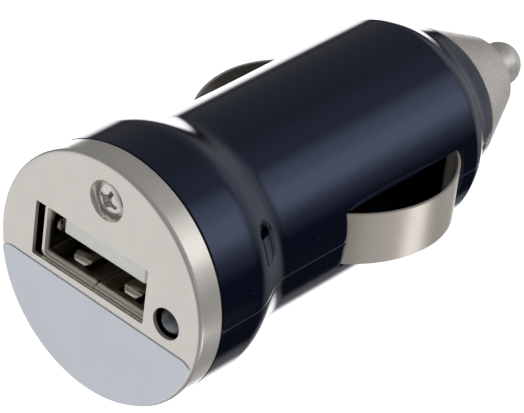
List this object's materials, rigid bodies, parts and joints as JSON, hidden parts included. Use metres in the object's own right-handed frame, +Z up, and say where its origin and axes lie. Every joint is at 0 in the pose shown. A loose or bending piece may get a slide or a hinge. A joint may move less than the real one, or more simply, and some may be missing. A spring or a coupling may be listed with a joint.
{
  "type": "car usb charger plug",
  "caption": "Round black car charger plug with a pale metal face, one USB-A port, a screw, a status light, two bowed ground springs and a sprung metal tip.",
  "frame": {"origin": "middle of the plug's length and width, on the table it lies on", "axes": "+X along the plug from its face to its sprung tip, +Y towards the left ground clip, +Z up, the side of the face's screw"},
  "size_m": [0.0572, 0.0264, 0.0244],
  "materials": {
    "cap_metal": "satin",
    "screw_steel": "polished",
    "label_film": "gloss",
    "lens_plastic": "gloss",
    "port_steel": "satin",
    "insulator_plastic": "matte",
    "contact_brass": "polished",
    "board_laminate": "satin",
    "mould_black": "matte",
    "ferrite": "matte",
    "copper_wire": "gloss",
    "can_sleeve": "gloss",
    "chip_ceramic": "matte",
    "body_plastic": "gloss",
    "clip_steel": "brushed",
    "ring_metal": "satin",
    "pin_metal": "satin",
    "spring_wire": "polished"
  },
  "bodies": {
    "plug": {"face_cap": "cap_metal", "cap_screw": "screw_steel", "rating_label": "label_film", "status_led": "lens_plastic", "usb_shell": "port_steel", "usb_insulator": "insulator_plastic", "usb_contacts": "contact_brass", "circuit_board": "board_laminate", "regulator_chip": "mould_black", "choke_core": "ferrite", "choke_winding": "copper_wire", "input_capacitor": "can_sleeve", "output_capacitor": "can_sleeve", "rectifier_diode": "mould_black", "chip_resistors": "mould_black", "chip_capacitors": "chip_ceramic", "spring_terminal": "contact_brass", "body_upper": "body_plastic", "body_lower": "body_plastic", "nose_ring": "ring_metal", "tip_spring": "spring_wire"},
    "tip": {"tip_pin": "pin_metal"},
    "left_clip": {"ground_clip_left": "clip_steel"},
    "right_clip": {"ground_clip_right": "clip_steel"}
  },
  "joints": [
    {"name": "tip_press", "type": "slide", "parent": "plug", "child": "tip", "axis": [-1, 0, 0], "range_m": [0, 0.0025], "stiffness_N_per_m": 1000, "springref_m": -0.002, "deforming": ["tip_spring"]},
    {"name": "left_clip_press", "type": "hinge", "parent": "plug", "child": "left_clip", "pos_m": [-0.00694, 0.0069, 0.0122], "axis": [0, 0, -1], "range_deg": [0, 20], "stiffness_Nm_per_rad": 0.12, "springref_deg": -2.86},
    {"name": "right_clip_press", "type": "hinge", "parent": "plug", "child": "right_clip", "pos_m": [-0.00694, -0.0069, 0.0122], "axis": [0, 0, 1], "range_deg": [0, 20], "stiffness_Nm_per_rad": 0.12, "springref_deg": -2.86}
  ]
}
